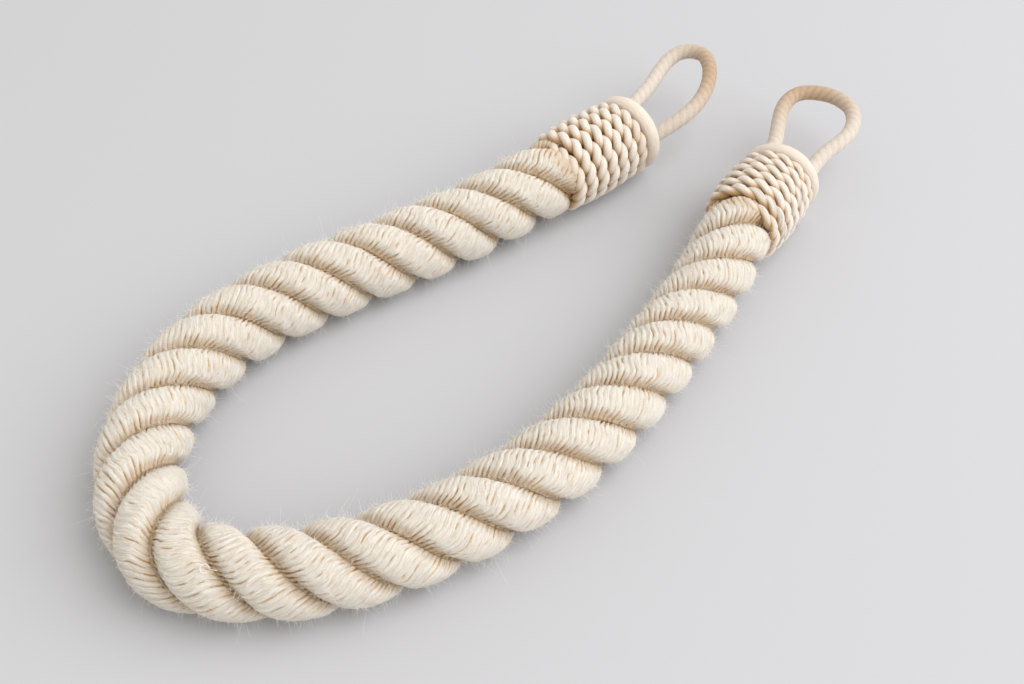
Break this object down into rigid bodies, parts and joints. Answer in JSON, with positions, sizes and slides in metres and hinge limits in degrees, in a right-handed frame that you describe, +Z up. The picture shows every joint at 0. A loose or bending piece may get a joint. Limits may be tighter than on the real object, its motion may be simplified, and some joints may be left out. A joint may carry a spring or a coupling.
{
  "type": "rope curtain tieback",
  "caption": "Thick twisted cotton rope tieback lying in a U, bound with wound cord at both ends, each with a cord loop.",
  "frame": {"origin": "on the surface the tieback lies on, under the middle of its bounding box", "axes": "+Z up from the surface, +Y from the bend towards the end with binding A, +X towards the end with binding B"},
  "size_m": [0.2602, 0.278, 0.033],
  "materials": {
    "rope_cotton": "loose, fuzzy unbleached cotton yarn",
    "wound_cord": "two-ply cotton cord, tightly wound",
    "loop_cord": "smooth cotton cord"
  },
  "bodies": {
    "root": {"rope": "rope_cotton", "binding_a": "wound_cord", "binding_b": "wound_cord", "loop_a": "loop_cord", "loop_b": "loop_cord"}
  },
  "joints": []
}
